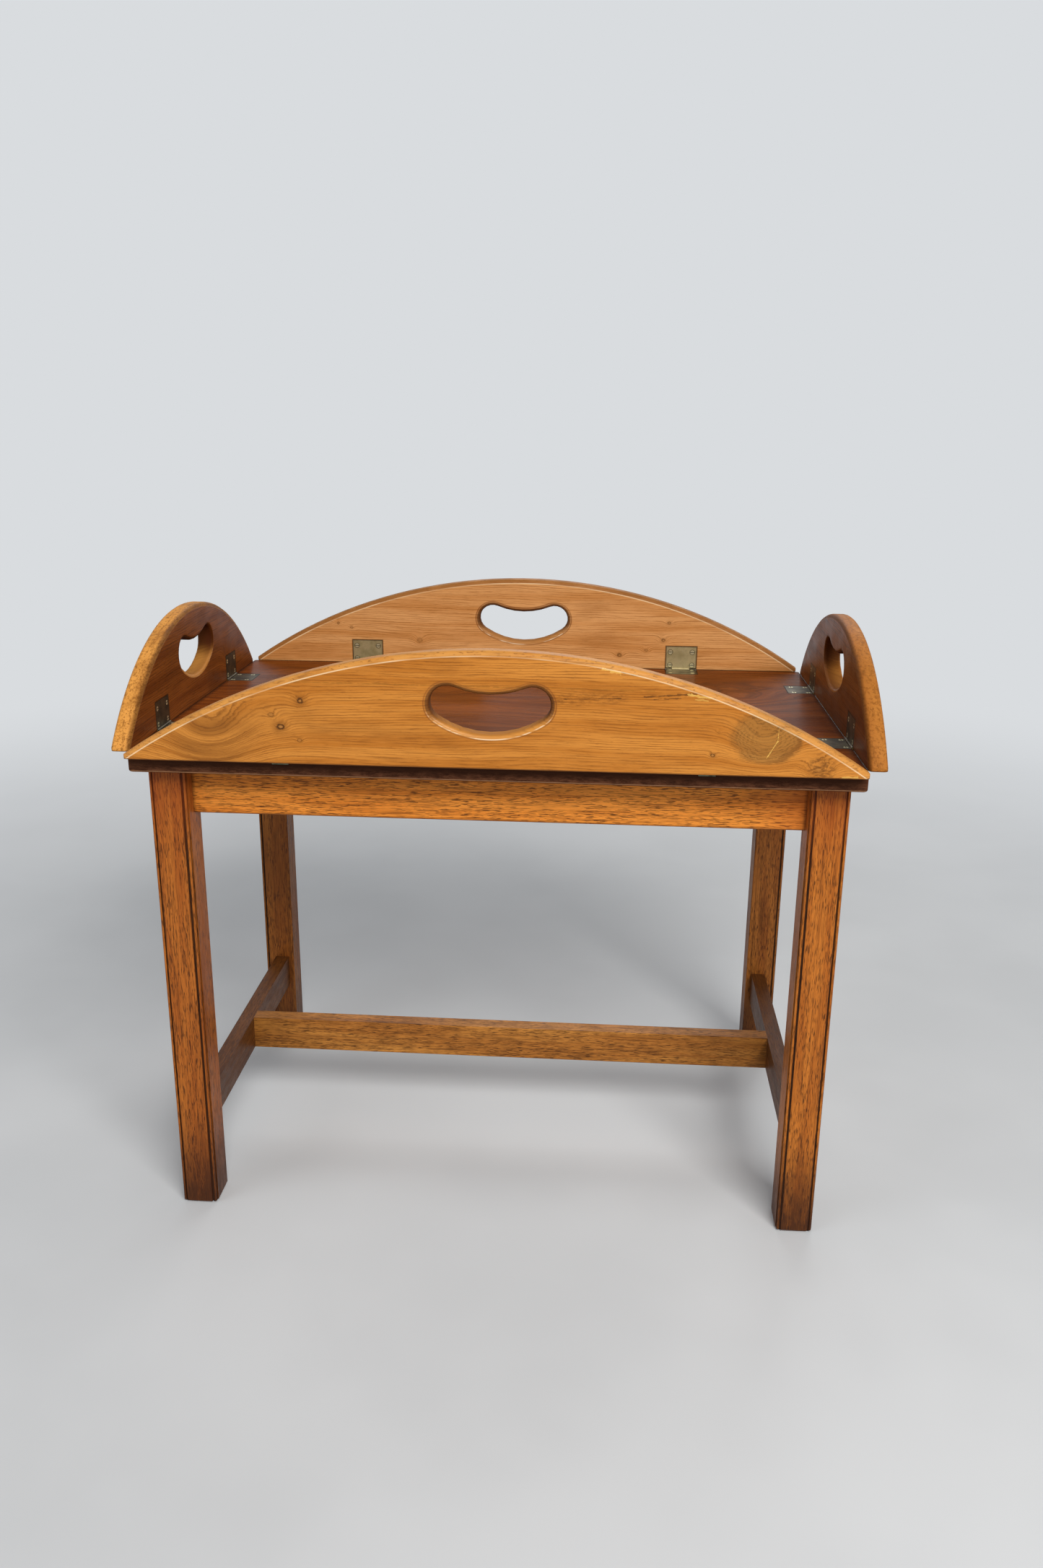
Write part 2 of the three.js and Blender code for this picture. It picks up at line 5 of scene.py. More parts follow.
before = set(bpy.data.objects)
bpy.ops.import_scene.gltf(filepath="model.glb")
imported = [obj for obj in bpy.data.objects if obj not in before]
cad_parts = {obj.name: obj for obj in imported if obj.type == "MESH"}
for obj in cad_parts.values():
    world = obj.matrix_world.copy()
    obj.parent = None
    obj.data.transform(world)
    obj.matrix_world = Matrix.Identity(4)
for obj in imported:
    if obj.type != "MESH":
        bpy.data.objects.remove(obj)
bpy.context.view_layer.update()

# Sizes of the model, in millimetres
MM_PER_METRE = 1000.0
BOARD_X, BOARD_Y = 353.0, 226.5
BOARD_TOP, BOARD_BOTTOM = 522.0, 503.0
HINGE_EDGE = 521.7
FLAP_FACE = 0.2
ROUNDING = 4.8
TIP_HEIGHT = 4.0
LEG_X, LEG_Y, LEG_HALF = 324.3, 184.3, 19.2
LEAF_HALF, LEAF_LENGTH, LEAF_GAP = 19.25, 29.5, 0.3
SCREW_ALONG, SCREW_ROW_MIDDLE, SCREW_ROW_REACH, SCREW_RADIUS = 14.0, 14.0, 8.4, 2.9

# Kidney hole: lobe centre and radius, waist and long curve as circles, above the hinge edge, and
# the points from a lobe's centre where its arc meets the long curve and the waist
HOLE_BASE = 27.5
LOBE_X, LOBE_Y, LOBE_RADIUS = 39.7, 33.7, 21.5
WAIST_Y, WAIST_RADIUS = 130.83, 83.43
CURVE_RADIUS = 92.19
CURVE_MEET, WAIST_MEET = (12.07, -17.79), (-8.13, 19.9)

# Each side: the axes that run out of it and along it, where the board's edge is, and its flap's
# half span, rise and reach from the middle to a hinge. The signs turn the axes to face the side.
LONG_SIDE = dict(out="y", along="x", edge=BOARD_Y, half=350.0, rise=111.5, hinge=203.0)
SHORT_SIDE = dict(out="x", along="y", edge=BOARD_X, half=220.0, rise=108.5, hinge=121.5)
SIDES = {
    "front": dict(LONG_SIDE, along_sign=1.0, out_sign=-1.0),
    "back": dict(LONG_SIDE, along_sign=-1.0, out_sign=1.0),
    "left": dict(SHORT_SIDE, along_sign=-1.0, out_sign=-1.0),
    "right": dict(SHORT_SIDE, along_sign=1.0, out_sign=1.0),
}

# How far a material's seed and a pattern's shift move its noise, and how the three axes share it
SEED_STEP, SHIFT_STEP = 17.31, 5.77
AXIS_SHARES = (1.0, -0.63, 1.37)
BUMP_DEPTH = 0.001

# Seeds: one for each material, counted up from the first of its kind
FLAP_SEED, BOARD_SEED, FLAP_LEAF_SEED, BOARD_LEAF_SEED, STAND_SEED, FLOOR_SEED = 1, 5.0, 20.0, 30.0, 50, 90.0


# Colours

def paint(text):
    """A colour written as six hexadecimal digits, as linear light."""
    parts = [int(text[i:i + 2], 16) / 255 for i in (0, 2, 4)]
    return tuple(c / 12.92 if c <= 0.04045 else ((c + 0.055) / 1.055) ** 2.4 for c in parts) + (1.0,)


# Writing a material's nodes

class Field:
    """A number that varies over a surface: an output of a material's node tree."""

    def __init__(self, finish, socket):
        self.finish, self.socket = finish, socket

    def __add__(self, other):
        return self.finish.maths("ADD", self, other)

    def __sub__(self, other):
        return self.finish.maths("SUBTRACT", self, other)

    def __rsub__(self, other):
        return self.finish.maths("SUBTRACT", other, self)

    def __mul__(self, other):
        return self.finish.maths("MULTIPLY", self, other)

    def __truediv__(self, other):
        return self.finish.maths("DIVIDE", self, other)

    def __abs__(self):
        return self.finish.maths("ABSOLUTE", self)

    def least(self, other):
        return self.finish.maths("MINIMUM", self, other)

    def most(self, other):
        return self.finish.maths("MAXIMUM", self, other)

    def hypot(self, other):
        return self.finish.maths("SQRT", self * self + other * other)

    def ramp(self, low, high, start=0.0, end=1.0):
        """Smoothly from start, at low, to end, at high."""
        node = self.finish.node("ShaderNodeMapRange", interpolation_type="SMOOTHSTEP")
        self.finish.feed(node.inputs["Value"], self)
        for name, value in zip(("From Min", "From Max", "To Min", "To Max"), (low, high, start, end)):
            node.inputs[name].default_value = value
        return Field(self.finish, node.outputs[0])

    def near(self, value, width):
        """One where the field has the value, none at the width from it."""
        return abs(self - value).ramp(width, 0.0)


class Finish:
    """A material while its nodes are written. Its x, y and z are millimetres at rest."""

    def __init__(self, name, seed):
        self.material = bpy.data.materials.new(name)
        self.material.use_nodes = True
        self.tree = self.material.node_tree
        self.shader = self.tree.nodes["Principled BSDF"]
        self.seed = seed
        place = self.node("ShaderNodeTexCoord").outputs["Object"]
        parts = self.node("ShaderNodeSeparateXYZ")
        self.tree.links.new(place, parts.inputs[0])
        self.x, self.y, self.z = [Field(self, socket) * MM_PER_METRE for socket in parts.outputs]

    def node(self, kind, **settings):
        made = self.tree.nodes.new(kind)
        for name, value in settings.items():
            setattr(made, name, value)
        return made

    def feed(self, socket, value):
        if isinstance(value, Field):
            self.tree.links.new(value.socket, socket)
        else:
            socket.default_value = value

    def maths(self, operation, *values):
        made = self.node("ShaderNodeMath", operation=operation)
        for socket, value in zip(made.inputs, values):
            self.feed(socket, value)
        return Field(self, made.outputs[0])

    def noise(self, at, sizes, detail=2.0, roughness=0.5, shift=0.0):
        """Soft noise whose lumps have the given sizes along the three coordinates."""
        place = self.node("ShaderNodeCombineXYZ")
        for socket, value in zip(place.inputs, at):
            self.feed(socket, value)
        scaled = self.node("ShaderNodeVectorMath", operation="MULTIPLY_ADD")
        self.tree.links.new(place.outputs[0], scaled.inputs[0])
        scaled.inputs[1].default_value = [1.0 / size for size in sizes]
        offset = self.seed * SEED_STEP + shift * SHIFT_STEP
        scaled.inputs[2].default_value = [offset * share for share in AXIS_SHARES]
        made = self.node("ShaderNodeTexNoise")
        self.tree.links.new(scaled.outputs[0], made.inputs["Vector"])
        for name, value in (("Scale", 1.0), ("Detail", detail), ("Roughness", roughness)):
            made.inputs[name].default_value = value
        return Field(self, made.outputs[0])

    def mix(self, first, second, share):
        """From the first colour to the second by share, which is a number or a field."""
        made = self.node("ShaderNodeMix", data_type="RGBA")
        self.feed(made.inputs[0], share)
        self.feed(made.inputs[6], first)
        self.feed(made.inputs[7], second)
        return Field(self, made.outputs[2])

    def stain(self, colour, tone, share):
        """The colour, painted over with a tone by share."""
        return self.mix(colour, paint(tone), share)

    def bump(self, height, strength):
        made = self.node("ShaderNodeBump")
        made.inputs["Strength"].default_value = strength
        made.inputs["Distance"].default_value = BUMP_DEPTH
        self.feed(made.inputs["Height"], height)
        self.tree.links.new(made.outputs[0], self.shader.inputs["Normal"])

    def done(self, colour, roughness, **constants):
        self.feed(self.shader.inputs["Base Color"], colour)
        self.feed(self.shader.inputs["Roughness"], roughness)
        for name, value in constants.items():
            self.feed(self.shader.inputs[name.replace("_", " ").title().replace("Ior", "IOR")], value)
        return self.material


# Wood

# A knot is squashed across the grain, and its rings waver by a share of its size up to a limit
KNOT_SQUASH = 1.25
KNOT_WAVER_SHARE, KNOT_WAVER_LIMIT = 0.9, 6.0
GRAIN_LEAN = 0.3


def grain(finish, at, knots=(), spacing=2.6, warp=16.0):
    """The figure of a sawn face: ring lines bent round the knots, broad bands, fibre, and knots."""
    along, across, through = at
    sway = finish.noise(at, (260.0, 80.0, 80.0), detail=2.0, shift=1.0)
    level = across + through * GRAIN_LEAN + (sway - 0.5) * warp
    wobble = finish.noise(at, (9.0, 6.0, 14.0), detail=3.0, roughness=0.7, shift=14.0) - 0.5
    cores, eyes, halos = None, None, None
    for at_along, at_across, size, push, core in knots:
        waver = wobble * min(size * KNOT_WAVER_SHARE, KNOT_WAVER_LIMIT)
        distance = (along - at_along).hypot((across - at_across) * KNOT_SQUASH) + waver
        hump = finish.maths("EXPONENT", distance * distance * (-1.0 / (size * size)))
        level = level + hump * push
        if core:
            halos = hump * core if halos is None else halos.most(hump * core)
            ring = distance.near(size * 0.28, size * 0.2) * core
            eye = distance.ramp(size * 0.22, size * 0.08) * core
            cores = ring if cores is None else cores.most(ring)
            eyes = eye if eyes is None else eyes.most(eye)
    ripple = finish.noise(at, (14.0, 4.0, 14.0), detail=3.0, roughness=0.6, shift=17.0)
    level = level + (ripple - 0.5) * 1.6
    bent = (along, level, through)
    wander = finish.noise(bent, (160.0, 9.0, 60.0), detail=2.0, shift=12.0)
    saw = finish.maths("FRACT", level / spacing + wander * 2.6)
    strength = finish.noise(bent, (46.0, 3.4, 30.0), detail=3.0, roughness=0.6, shift=2.0)
    fibre = finish.noise(bent, (24.0, 1.3, 1.6), detail=3.0, roughness=0.65, shift=4.0)
    lines = saw.ramp(0.4, 0.84) * saw.ramp(1.0, 0.88) * strength.ramp(0.36, 0.58, 0.12, 1.0)
    bands = finish.noise(bent, (200.0, 12.0, 90.0), detail=3.0, shift=3.0)
    return dict(lines=lines, bands=bands, fibre=fibre, cores=cores, eyes=eyes, halos=halos)


def wood_colour(finish, figure, tones, line_share, fibre_share):
    light, middle, dark = [paint(tone) for tone in tones]
    colour = finish.mix(light, middle, figure["bands"].ramp(0.34, 0.66))
    colour = finish.mix(colour, dark, figure["lines"] * line_share)
    colour = finish.mix(colour, dark, figure["fibre"].ramp(0.5, 0.72) * fibre_share)
    return finish.mix(colour, light, figure["fibre"].ramp(0.48, 0.3) * fibre_share)


def hole_distance(finish, along, above):
    """How far outside the kidney hole's edge a point is; negative inside."""
    side = abs(along)
    height = above - HOLE_BASE
    reach, lift = side - LOBE_X, height - LOBE_Y
    lobe = reach.hypot(lift) - LOBE_RADIUS
    curve = side.hypot(height - CURVE_RADIUS) - CURVE_RADIUS
    waist = WAIST_RADIUS - side.hypot(height - WAIST_Y)
    past_curve = lift * CURVE_MEET[0] - reach * CURVE_MEET[1]
    past_waist = reach * WAIST_MEET[1] - lift * WAIST_MEET[0]
    round_lobe = finish.maths("GREATER_THAN", past_curve.least(past_waist), 0.0)
    return lobe * round_lobe + curve.most(waist) * (1.0 - round_lobe)


def from_point(u, v, point):
    """How far a point of a face is from the given one."""
    return (u - point[0]).hypot(v - point[1])


def stroke(u, v, start, end):
    """How far a point of a face is from the straight line between two points of it."""
    run, climb = end[0] - start[0], end[1] - start[1]
    share = ((u - start[0]) * run + (v - start[1]) * climb) / (run * run + climb * climb)
    share = share.least(1.0).most(0.0)
    return (u - start[0] - share * run).hypot(v - start[1] - share * climb)


def flap_places(finish, side):
    """Along the joint, above the hinge edge, and out from the inner face."""
    along = getattr(finish, side["along"]) * side["along_sign"]
    out = getattr(finish, side["out"]) * side["out_sign"] - (side["edge"] + FLAP_FACE)
    return along, finish.z - HINGE_EDGE, out


# Knots: along the joint, above the hinge edge, size, how far they push the rings, and their core
KNOTS = {
    "front": [(-176.0, 61.0, 9.0, 6.0, 1.0), (-195.5, 35.6, 9.0, 6.0, 1.0), (-204.0, 47.0, 7.0, 4.0, 0.5),
              (-178.0, 23.0, 5.0, 3.0, 0.5), (-264.0, 26.0, 44.0, 34.0, 0.0),
              (252.0, 34.0, 30.0, 22.0, 0.0), (210.0, 41.0, 3.5, 3.0, 0.4), (205.5, 19.0, 4.5, 4.0, 0.9),
              (302.0, 8.0, 13.0, 16.0, 0.4)],
    "back": [(-186.0, 60.0, 6.0, 4.0, 0.7), (-179.4, 37.5, 7.0, 6.0, 0.7), (-158.0, 24.0, 6.0, 5.0, 0.5),
             (-124.0, 17.0, 7.0, 6.0, 0.8), (241.0, 51.0, 6.0, 4.0, 0.6), (223.0, 46.0, 5.0, 3.0, 0.5),
             (134.0, 31.0, 9.0, 7.0, 0.4)],
    "left": [(40.0, 60.0, 14.0, 12.0, 0.4), (-110.0, 30.0, 18.0, 16.0, 0.0)],
    "right": [(-60.0, 70.0, 16.0, 14.0, 0.4), (120.0, 26.0, 14.0, 12.0, 0.0)],
}

# The same of the board, along and across it from its middle
BOARD_KNOTS = [
    (262.0, 60.0, 60.0, 80.0, 0.0), (-230.0, -90.0, 70.0, 60.0, 0.0), (40.0, 150.0, 50.0, 36.0, 0.0),
    (150.0, -150.0, 34.0, 30.0, 0.5), (-90.0, 60.0, 30.0, 24.0, 0.4),
]

# Each flap's wood from light to dark, and the tone of its rounded rim. The short flaps' darker wood tones
# are painted shade on their inner faces.
FLAP_TONES = {
    "front": ("c48034", "ae6a22", "72400f", "c88c42"),
    "back": ("d49a60", "c28449", "8e5827", "8f5f2e"),
    "left": ("864a1c", "6a3511", "3e1c06", "e39f4e"),
    "right": ("8a4e20", "6e3a14", "42200a", "a8692c"),
}
FLAP_LINE_SHARE, FLAP_FIBRE_SHARE = 0.62, 0.36

# The outer faces of the two short flaps are as light as the long ones; their inner faces keep the darker
# tones as painted shade
OUTER_TONES = ("bd7f38", "a66a27", "6e4012")

# How strongly each flap mirrors what is round it, and how strong its dark flecks are
SHINE = {"front": 0.18, "back": 0.08, "left": 0.05, "right": 0.05}
FLECKS = {"front": 0.22, "back": 0.12, "left": 0.4, "right": 0.4}

# Marks of the front flap, along the joint and above the hinge edge. The burr is a ringed knot.
BURR, BURR_SQUASH, BURR_RING = (253.0, 36.0), 1.3, 3.6
SWIRL, DARK_PATCH = (-262.0, 16.0), (305.0, 8.0)
SMUDGE_LINE = ((58.0, 68.0), (120.0, 71.0))
GLUE_LINE = ((-190.0, 79.0), (150.0, 78.0))

# Its dark cracks and golden fillings: from, to, and half width
CRACKS = [
    ((68.0, 68.5), (120.0, 70.5), 0.35), ((141.0, 72.5), (188.0, 76.0), 0.8),
    ((150.0, 70.2), (174.0, 71.8), 0.5), ((264.0, 60.0), (263.6, 46.0), 0.3),
    ((106.0, 97.8), (134.0, 91.6), 0.5),
]
FILLINGS = [
    ((103.0, 97.0), (119.0, 94.0), 1.3), ((181.0, 75.2), (203.0, 72.0), 1.0),
    ((187.0, 71.0), (199.0, 70.0), 0.5), ((264.0, 46.0), (263.6, 34.0), 0.22),
    ((263.6, 34.0), (254.3, 17.4), 0.42), ((324.0, 1.2), (338.0, 1.6), 0.8),
]


def front_marks(finish, colour, figure, at, ragged):
    """The front flap's burr, swirl, glue line, cracks and fillings."""
    along, above, _ = at
    fibre = figure["fibre"]
    smoky = finish.noise(at, (30.0, 16.0, 30.0), detail=5.0, roughness=0.65, shift=18.0) - 0.5
    burr = (along - BURR[0]).hypot((above - BURR[1]) * BURR_SQUASH) + smoky * 20.0 + ragged * 5.0
    colour = finish.stain(colour, "84602e", burr.ramp(36.0, 24.0) * 0.5)
    rings = finish.maths("FRACT", burr / BURR_RING)
    rings = rings.ramp(0.2, 0.8) * rings.ramp(1.0, 0.8) * burr.ramp(36.0, 26.0) * burr.ramp(4.0, 12.0)
    colour = finish.stain(colour, "5a3812", rings * fibre.ramp(0.4, 0.6, 0.1, 0.55))
    outline = burr.near(30.0, 6.0) * along.ramp(230.0, 275.0, 0.3, 1.0)
    colour = finish.stain(colour, "4e2c0c", outline * 0.5)
    swirl = from_point(along, above, SWIRL).ramp(58.0, 14.0)
    colour = finish.stain(colour, "5a3410", swirl * figure["bands"].ramp(0.35, 0.6, 0.25, 1.0) * 0.5)
    patch = from_point(along, above, DARK_PATCH).ramp(16.0, 9.0)
    colour = finish.stain(colour, "55300f", patch * ragged.ramp(-0.1, 0.1) * 0.6)
    glue = stroke(along, above, *GLUE_LINE).ramp(0.7, 0.3) * ragged.ramp(-0.12, 0.05)
    colour = finish.stain(colour, "8a5a1c", glue * 0.6)
    smudge = stroke(along, above, *SMUDGE_LINE).ramp(9.0, 1.0) * ragged.ramp(-0.1, 0.16)
    colour = finish.stain(colour, "5c3410", smudge * 0.5)
    for start, end, width in CRACKS:
        crack = stroke(along, above, start, end) + ragged * 3.4 + smoky * 2.4
        colour = finish.stain(colour, "43250b", crack.ramp(width + 0.2, width - 0.3) * 0.7)
    for start, end, width in FILLINGS:
        gold = stroke(along, above, start, end) + ragged * (5.5 * width)
        gold = gold.ramp(width + 0.15, width - 0.15) * fibre.ramp(0.6, 0.4, 0.5, 1.0)
        colour = finish.stain(colour, "d8ab55", gold)
    return colour


def flap_wood(name, seed):
    side = SIDES[name]
    long_flap = side["along"] == "x"
    light, middle, dark, rim_tone = FLAP_TONES[name]
    finish = Finish(f"{name}_flap_wood", seed)
    at = flap_places(finish, side)
    along, above, out = at
    figure = grain(finish, at, KNOTS[name])
    fibre = figure["fibre"]
    colour = wood_colour(finish, figure, (light, middle, dark), FLAP_LINE_SHARE, FLAP_FIBRE_SHARE)
    # Short flaps: painted shade in the darker tones of the inner face, the lighter outer tones further out
    if not long_flap:
        outer = wood_colour(finish, figure, OUTER_TONES, FLAP_LINE_SHARE, FLAP_FIBRE_SHARE)
        colour = finish.mix(colour, outer, out.ramp(2.0, 13.0))
    patches = finish.noise(at, (95.0, 45.0, 60.0), detail=3.0, shift=5.0)
    colour = finish.stain(colour, dark, patches.ramp(0.55, 0.8) * 0.35)
    flecks = finish.noise(at, (7.0, 1.1, 1.1), detail=1.0, shift=9.0).ramp(0.66, 0.74)
    colour = finish.stain(colour, "4a2608", flecks * FLECKS[name])
    if name == "front":
        ragged = finish.noise(at, (5.0, 2.0, 2.0), detail=3.0, roughness=0.65, shift=13.0) - 0.5
        colour = front_marks(finish, colour, figure, at, ragged)
    smudges = figure["halos"].ramp(0.15, 0.95) * fibre.ramp(0.3, 0.6, 0.5, 1.0)
    colour = finish.stain(colour, dark, smudges * 0.6)
    colour = finish.stain(colour, "341a06", figure["cores"] * 0.85)
    colour = finish.stain(colour, "a8763c", figure["eyes"] * 0.7)

    # The rounded rim: its tone, pits, streaks, painted shade where it turns to the inner face, and a rubbed
    # edge line that is also a painted highlight
    arc_rise = side["rise"] - TIP_HEIGHT
    radius = (side["half"] ** 2 + arc_rise ** 2) / (2 * arc_rise)
    inside_arc = radius - along.hypot(above - (side["rise"] - radius))
    dents = finish.noise(at, (30.0, 24.0, 24.0), detail=5.0, roughness=0.6, shift=7.0)
    faded = finish.noise(at, (70.0, 70.0, 70.0), detail=2.0, shift=16.0)
    streaked = finish.noise(at, (50.0, 5.0, 3.0), detail=3.0, roughness=0.6, shift=19.0)
    rim = inside_arc.ramp(ROUNDING + 0.6, ROUNDING - 1.4)
    colour = finish.stain(colour, rim_tone, rim * dents.ramp(0.3, 0.6, 0.35, 0.8))
    if long_flap:
        pits = finish.noise(at, (4.5, 1.4, 1.4), detail=1.0, shift=15.0).ramp(0.62, 0.7)
    else:
        pits = finish.noise(at, (3.2, 2.6, 2.6), detail=4.0, roughness=0.7, shift=15.0).ramp(0.5, 0.62)
    colour = finish.stain(colour, "6b3c12", rim * pits * 0.55)
    colour = finish.stain(colour, "7a4a1a", rim * streaked.ramp(0.5, 0.7) * 0.6)
    # Painted shade on the rim where it turns towards the inner face
    colour = finish.stain(colour, dark, rim * out.ramp(4.5, 1.0) * 0.6)
    # A pale line at the arris: wear and a painted highlight
    rubbed_and_lit = inside_arc.near(ROUNDING + 0.2, 1.0) * faded.ramp(0.35, 0.6, 0.3, 1.0)
    colour = finish.stain(colour, "f0d6ac", rubbed_and_lit * (0.7 if long_flap else 0.05))

    # The hole's edge: painted shade on its inner wall and upper half, and on its lower half a lip lightened
    # as painted light, with a painted highlight
    outside_hole = hole_distance(finish, along, above)
    upper_half = above.ramp(HOLE_BASE + 12.0, HOLE_BASE + 30.0)
    # The lip in rim tone, mostly on the lower half, where it stands for painted light
    lip_tone_and_light = outside_hole.ramp(0.6, -0.6)
    colour = finish.stain(colour, rim_tone, lip_tone_and_light * (0.5 - upper_half * 0.45))
    # Painted shade on the hole's inner wall, strongest on its upper half
    inside_hole = outside_hole.ramp(-2.8, -4.6)
    colour = finish.stain(colour, dark, inside_hole * (upper_half * 0.4 + 0.35))
    # Painted shade inside the upper edge
    upper_edge_shade = outside_hole.ramp(-0.2, -2.0) * upper_half * faded.ramp(0.3, 0.6, 0.7, 1.0)
    colour = finish.stain(colour, "3a1808", upper_edge_shade * 0.8)
    # A dark line round the edge, darker on the upper half as painted shade
    outline = outside_hole.near(0.2, 1.2) * faded.ramp(0.35, 0.55, 0.5, 1.0)
    colour = finish.stain(colour, "6a3414", outline * (upper_half * 0.3 + 0.45))
    # A painted highlight on the lower lip
    glint = outside_hole.near(-0.8, 0.9) * (1.0 - upper_half) * streaked.ramp(0.42, 0.6)
    colour = finish.stain(colour, "f3dfbd", glint * (0.7 if long_flap else 0.2))

    # Dark lines along the hinge edge, painted shade of the joint, and round the leaves
    # Painted shade along the joint with the board
    colour = finish.stain(colour, "3c2110", above.ramp(1.4, 0.3) * 0.75)
    beside = abs(abs(along) - side["hinge"]) - (LEAF_HALF + LEAF_GAP)
    around = abs(beside.most(above - (LEAF_LENGTH + LEAF_GAP))).ramp(1.6, 0.2) * out.ramp(4.0, 2.5)
    colour = finish.stain(colour, "2c1a0c", around * 0.8)
    height = dents - figure["lines"] * 0.3 + fibre * 0.3 - flecks * 0.3 - rim * pits * 0.4
    finish.bump(height, 0.14)
    roughness = dents.ramp(0.3, 0.7, 0.3, 0.42) + inside_hole * 0.45 + rim * 0.12
    return finish.done(colour, roughness, specular_ior_level=SHINE[name])


BOARD_TONES = ("8a4714", "6c330c", "3a1806")


def board_wood():
    finish = Finish("board_figured_wood", BOARD_SEED)
    x, y, z = at = finish.x, finish.y, finish.z
    figure = grain(finish, at, BOARD_KNOTS, spacing=5.0, warp=90.0)
    colour = wood_colour(finish, figure, BOARD_TONES, 0.5, 0.3)
    patches = finish.noise(at, (140.0, 90.0, 60.0), detail=3.0, shift=5.0)
    colour = finish.stain(colour, "46200c", patches.ramp(0.45, 0.75) * 0.5)
    pores = finish.noise(at, (9.0, 0.8, 0.8), detail=1.0, shift=9.0).ramp(0.64, 0.72)
    colour = finish.stain(colour, "241005", pores * 0.5)

    # The dark upright edges: a painted shadow of the flaps along their top, paler towards the bottom
    edge = (BOARD_X - abs(x)).least(BOARD_Y - abs(y))
    colour = finish.stain(colour, "2a1207", edge.ramp(7.0, 0.5) * 0.6)
    scuffs = finish.noise(at, (12.0, 12.0, 3.0), detail=5.0, roughness=0.75, shift=6.0)
    side = edge.ramp(0.9, 0.1)
    colour = finish.stain(colour, "3c2419", side * 0.9)
    # Paler and mottled towards the bottom: wear, and painted light below the painted shadow
    rubbed_and_lit = side * z.ramp(BOARD_BOTTOM + 13.0, BOARD_BOTTOM + 2.0) * scuffs.ramp(0.36, 0.66)
    colour = finish.stain(colour, "744a33", rubbed_and_lit * 0.75)
    # A pale line along the bottom arris: wear and a painted highlight
    lower = side * z.near(BOARD_BOTTOM + 1.4, 0.9) * scuffs.ramp(0.3, 0.5, 0.5, 1.0)
    colour = finish.stain(colour, "b98a64", lower * 0.7)
    # Painted shadow of the flaps' overhang along the top of the edges
    shadow_band = side * z.ramp(BOARD_TOP - 6.0, BOARD_TOP - 1.5)
    colour = finish.stain(colour, "1c110c", shadow_band * 0.8)

    # Dark lines round the leaves, the same on opposite sides
    for name in ("front", "left"):
        place = SIDES[name]
        beside = abs(abs(getattr(finish, place["along"])) - place["hinge"]) - (LEAF_HALF + LEAF_GAP)
        inward = place["edge"] - abs(getattr(finish, place["out"])) - (LEAF_LENGTH + LEAF_GAP)
        around = abs(beside.most(inward)).ramp(1.8, 0.2) * z.ramp(BOARD_TOP - 3.5, BOARD_TOP - 2.5)
        colour = finish.stain(colour, "190d06", around * 0.8)
    bottom = z.ramp(BOARD_BOTTOM + 0.6, BOARD_BOTTOM + 0.1)
    colour = finish.stain(colour, "6e4a2c", bottom * 0.7)
    height = scuffs * 0.4 + figure["fibre"] * 0.3 - figure["lines"] * 0.2 - pores * 0.4
    finish.bump(height, 0.1)
    smears = finish.noise(at, (120.0, 60.0, 60.0), detail=3.0, shift=8.0)
    roughness = smears.ramp(0.3, 0.7, 0.2, 0.32) + side * 0.25 + bottom * 0.4
    return finish.done(colour, roughness, specular_ior_level=0.02)


# Tones of the stand's pieces, from light to dark
STAND_TONES = {
    "apron": ("ea9238", "d57c28", "6e380f"),
    "left_leg": ("ae6424", "98501a", "50270b"),
    "right_leg": ("bc6f28", "a45a1c", "5a2d0d"),
    "rear_leg": ("9a5e26", "82491b", "47270b"),
    "stretcher": ("c2823a", "a8692a", "553111"),
    # The side stretchers' darker tones are painted shade
    "side_stretcher": ("6c401a", "522d10", "2c1606"),
    "cleat": ("b98a52", "a3743e", "6d4820"),
}

# Which axes run along, across and through a piece, by the axis of its run
AXES_BY_RUN = {"x": "xzy", "y": "yzx", "z": "zxy"}

# A leg's corner in from its faces: where a quirk's floor takes painted shade, its end, and the quirk's edge
QUIRK_DARK, QUIRK_END, QUIRK_EDGE = (0.9, 1.9), (7.0, 5.0), 5.2


def leg_marks(finish, colour, scuffs):
    """Painted shade in the quirks at the corners, a dirty foot and a redder top."""
    in_x = LEG_HALF - abs(abs(finish.x) - LEG_X)
    in_y = LEG_HALF - abs(abs(finish.y) - LEG_Y)
    groove = in_x.least(in_y).ramp(*QUIRK_DARK)
    near_corner = in_x.most(in_y).ramp(*QUIRK_END)
    # Painted shade in the quirks and along their edges
    colour = finish.stain(colour, "1e0f07", groove * near_corner * 0.9)
    colour = finish.stain(colour, "1e0f07", in_x.most(in_y).near(QUIRK_EDGE, 1.0) * 0.35)
    foot = finish.z.ramp(130.0, 8.0) * scuffs.ramp(0.3, 0.6, 0.75, 1.0)
    colour = finish.stain(colour, "361c0e", foot * 0.9)
    return finish.stain(colour, "8c3a10", finish.z.ramp(400.0, 500.0) * 0.4)


def apron_marks(finish, colour, along, reach):
    """A redder right end, dark joints with the legs, a painted shadow of the board along the upper edge, and
    a dark lower edge.
    """
    colour = finish.stain(colour, "b2541a", along.ramp(reach - 70.0, reach) * 0.4)
    colour = finish.stain(colour, "3a1a0c", abs(along).ramp(reach - 4.0, reach) * 0.6)
    # Painted shadow of the board along the apron's top
    shadow_band = finish.z.ramp(BOARD_BOTTOM - 9.0, BOARD_BOTTOM)
    colour = finish.stain(colour, "4f2408", shadow_band * 0.6)
    lower = finish.z.ramp(BOARD_BOTTOM - 50.0, BOARD_BOTTOM - 53.0)
    return finish.stain(colour, "4f2408", lower * 0.5)


